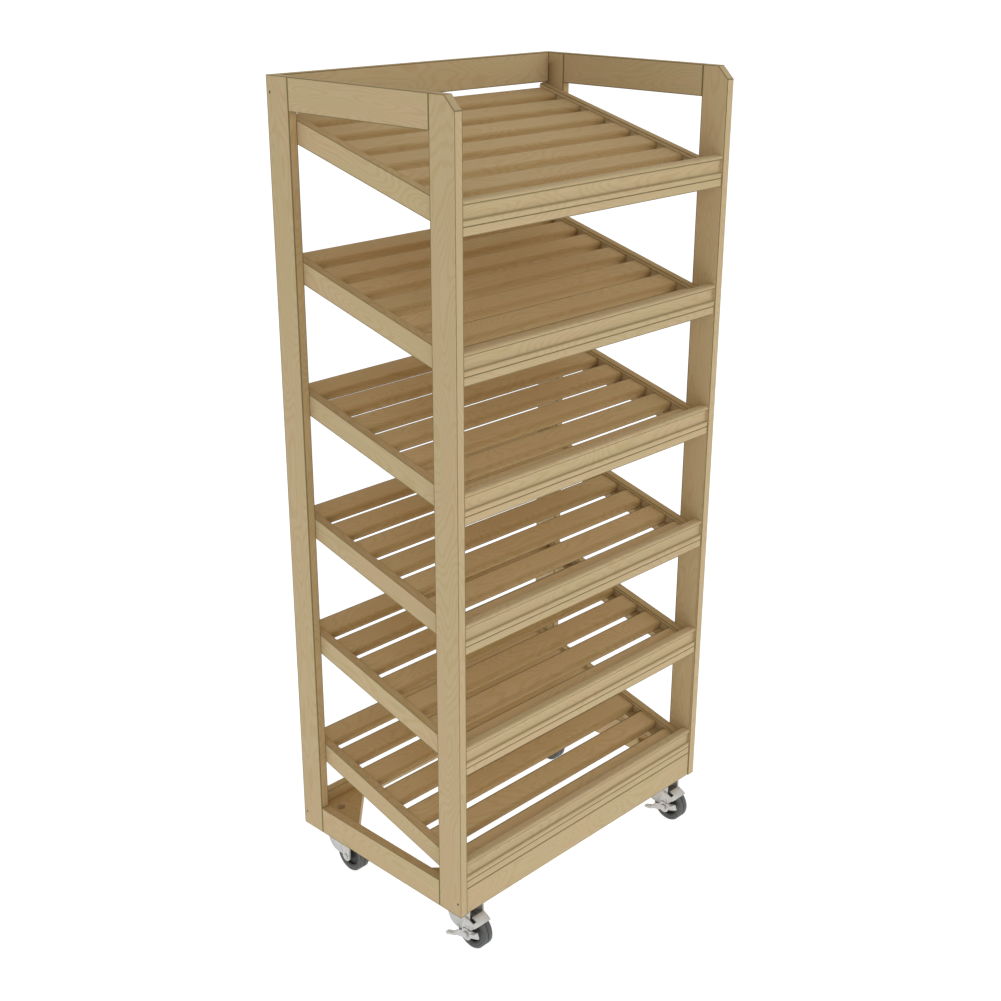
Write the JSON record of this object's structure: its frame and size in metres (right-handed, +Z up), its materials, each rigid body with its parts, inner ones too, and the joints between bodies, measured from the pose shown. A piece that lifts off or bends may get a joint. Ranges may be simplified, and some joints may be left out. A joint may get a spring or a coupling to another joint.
{
  "type": "bakery bread rack",
  "caption": "Tall open wooden bread rack with sloping slatted trays, moulded front rails and a light board frame on swivel casters, the front ones with foot brakes.",
  "frame": {"origin": "on the floor, in the middle of the rack's bounding box", "axes": "+X to the right seen from the front, +Y from the front rails to the back, +Z up"},
  "size_m": [0.746, 0.5005, 1.6605],
  "materials": {
    "board": "fine pale plywood, clear satin",
    "slat_board": "fine pale plywood, clear satin",
    "screw_steel": "satin",
    "zinc_steel": "bright zinc plating",
    "hub_plastic": "matt grey",
    "tyre_rubber": "matt grey"
  },
  "bodies": {
    "rack": {"left_front_post": "board", "right_front_post": "board", "left_rear_post": "board", "right_rear_post": "board", "left_top_rail": "board", "right_top_rail": "board", "left_bottom_rail": "board", "right_bottom_rail": "board", "rear_top_rail": "board", "rear_bottom_rail": "board", "front_plinth": "board", "corner_blocks": "board", "left_cleats": "board", "right_cleats": "board", "tray_1_left_rail": "board", "tray_1_right_rail": "board", "tray_1_front_rail": "board", "tray_1_slats": "slat_board", "tray_2_left_rail": "board", "tray_2_right_rail": "board", "tray_2_front_rail": "board", "tray_2_slats": "slat_board", "tray_3_left_rail": "board", "tray_3_right_rail": "board", "tray_3_front_rail": "board", "tray_3_slats": "slat_board", "tray_4_left_rail": "board", "tray_4_right_rail": "board", "tray_4_front_rail": "board", "tray_4_slats": "slat_board", "tray_5_left_rail": "board", "tray_5_right_rail": "board", "tray_5_front_rail": "board", "tray_5_slats": "slat_board", "tray_6_left_rail": "board", "tray_6_right_rail": "board", "tray_6_front_rail": "board", "tray_6_slats": "slat_board", "frame_screws": "screw_steel", "caster_stems": "zinc_steel"},
    "front_left_swivel": {"front_left_fork": "zinc_steel", "front_left_axle": "zinc_steel"},
    "front_left_wheel": {"front_left_hub": "hub_plastic", "front_left_tyre": "tyre_rubber"},
    "front_left_lever": {"front_left_brake_lever": "zinc_steel"},
    "front_left_shoe": {"front_left_brake_shoe": "zinc_steel"},
    "front_right_swivel": {"front_right_fork": "zinc_steel", "front_right_axle": "zinc_steel"},
    "front_right_wheel": {"front_right_hub": "hub_plastic", "front_right_tyre": "tyre_rubber"},
    "front_right_lever": {"front_right_brake_lever": "zinc_steel"},
    "front_right_shoe": {"front_right_brake_shoe": "zinc_steel"},
    "rear_left_swivel": {"rear_left_fork": "zinc_steel", "rear_left_axle": "zinc_steel"},
    "rear_left_wheel": {"rear_left_hub": "hub_plastic", "rear_left_tyre": "tyre_rubber"},
    "rear_right_swivel": {"rear_right_fork": "zinc_steel", "rear_right_axle": "zinc_steel"},
    "rear_right_wheel": {"rear_right_hub": "hub_plastic", "rear_right_tyre": "tyre_rubber"}
  },
  "joints": [
    {"name": "front_left_turn", "type": "hinge", "parent": "rack", "child": "front_left_swivel", "pos_m": [-0.317, -0.17775, 0.1005], "axis": [0, 0, 1], "continuous": true},
    {"name": "front_left_spin", "type": "hinge", "parent": "front_left_swivel", "child": "front_left_wheel", "pos_m": [-0.317, -0.21275, 0.0375], "axis": [1, 0, 0], "continuous": true},
    {"name": "front_left_brake_release", "type": "hinge", "parent": "front_left_swivel", "child": "front_left_lever", "pos_m": [-0.317, -0.21275, 0.0375], "axis": [1, 0, 0], "range_deg": [0, 35]},
    {"name": "front_left_shoe_lift", "type": "hinge", "parent": "front_left_swivel", "child": "front_left_shoe", "pos_m": [-0.317, -0.20975, 0.0695], "axis": [1, 0, 0], "range_deg": [-4.2, 0]},
    {"name": "front_right_turn", "type": "hinge", "parent": "rack", "child": "front_right_swivel", "pos_m": [0.317, -0.17775, 0.1005], "axis": [0, 0, 1], "continuous": true},
    {"name": "front_right_spin", "type": "hinge", "parent": "front_right_swivel", "child": "front_right_wheel", "pos_m": [0.317, -0.21275, 0.0375], "axis": [1, 0, 0], "continuous": true},
    {"name": "front_right_brake_release", "type": "hinge", "parent": "front_right_swivel", "child": "front_right_lever", "pos_m": [0.317, -0.21275, 0.0375], "axis": [1, 0, 0], "range_deg": [0, 35]},
    {"name": "front_right_shoe_lift", "type": "hinge", "parent": "front_right_swivel", "child": "front_right_shoe", "pos_m": [0.317, -0.20975, 0.0695], "axis": [1, 0, 0], "range_deg": [-4.2, 0]},
    {"name": "rear_left_turn", "type": "hinge", "parent": "rack", "child": "rear_left_swivel", "pos_m": [-0.317, 0.19425, 0.1005], "axis": [0, 0, 1], "continuous": true},
    {"name": "rear_left_spin", "type": "hinge", "parent": "rear_left_swivel", "child": "rear_left_wheel", "pos_m": [-0.317, 0.15925, 0.0375], "axis": [1, 0, 0], "continuous": true},
    {"name": "rear_right_turn", "type": "hinge", "parent": "rack", "child": "rear_right_swivel", "pos_m": [0.317, 0.19425, 0.1005], "axis": [0, 0, 1], "continuous": true},
    {"name": "rear_right_spin", "type": "hinge", "parent": "rear_right_swivel", "child": "rear_right_wheel", "pos_m": [0.317, 0.15925, 0.0375], "axis": [1, 0, 0], "continuous": true}
  ],
  "couplings": [
    {"joint": "front_left_shoe_lift", "follows": "front_left_brake_release", "ratio": -0.1186},
    {"joint": "front_right_shoe_lift", "follows": "front_right_brake_release", "ratio": -0.1186}
  ]
}
